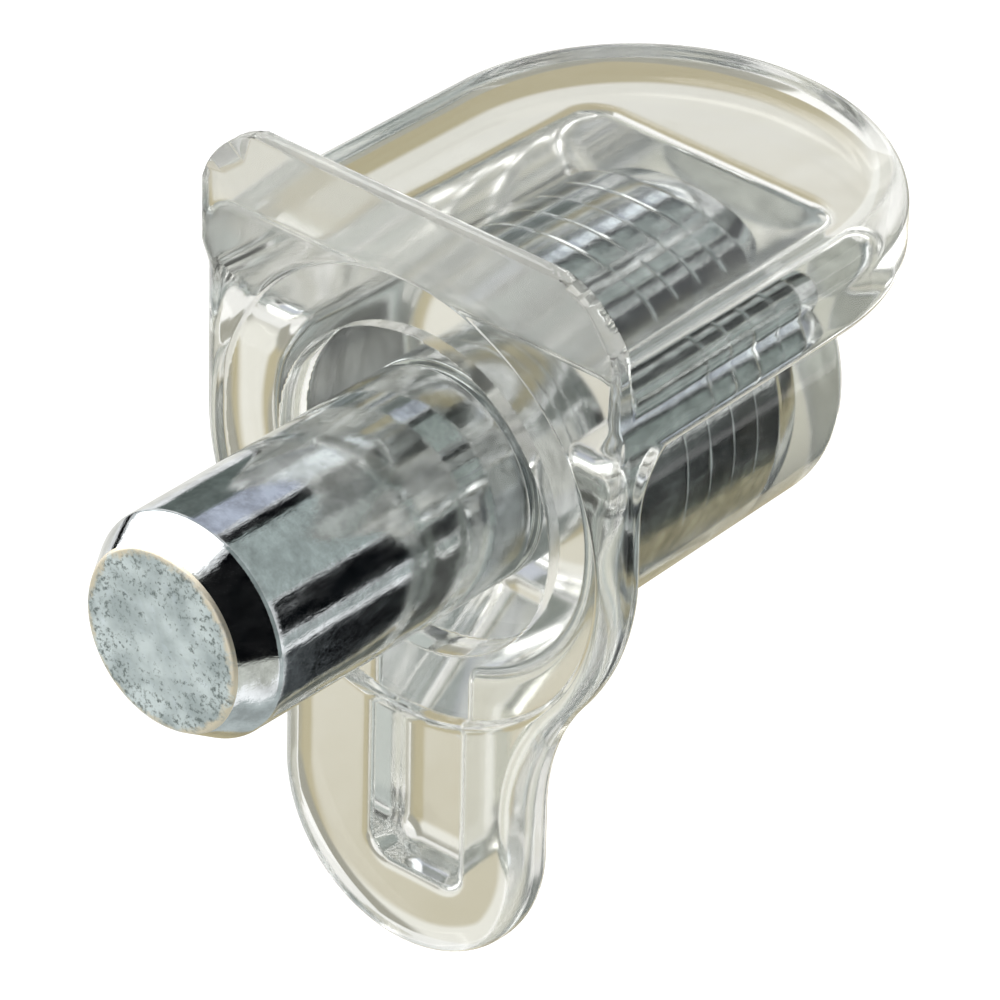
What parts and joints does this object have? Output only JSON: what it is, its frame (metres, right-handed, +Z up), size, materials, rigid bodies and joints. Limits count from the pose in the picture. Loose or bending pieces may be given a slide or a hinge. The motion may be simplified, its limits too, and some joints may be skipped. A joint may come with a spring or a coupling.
{
  "type": "shelf support pin",
  "caption": "Clear moulded shelf support on a plated steel pin, with a rounded plate for the shelf, an upright lip and a ribbed tongue below.",
  "frame": {"origin": "on the pin's axis, in the wall plane where the plate meets the cabinet side", "axes": "+Z is up towards the shelf, -Y runs along the pin into the cabinet side, +Y runs under the shelf, X is across the part"},
  "size_m": [0.0112, 0.0202, 0.0181],
  "materials": {
    "steel": "bright zinc plated, with a matt sheared end",
    "clear_plastic": "clear, gloss as moulded"
  },
  "bodies": {
    "root": {"steel_pin": "steel", "support_body": "clear_plastic"}
  },
  "joints": []
}
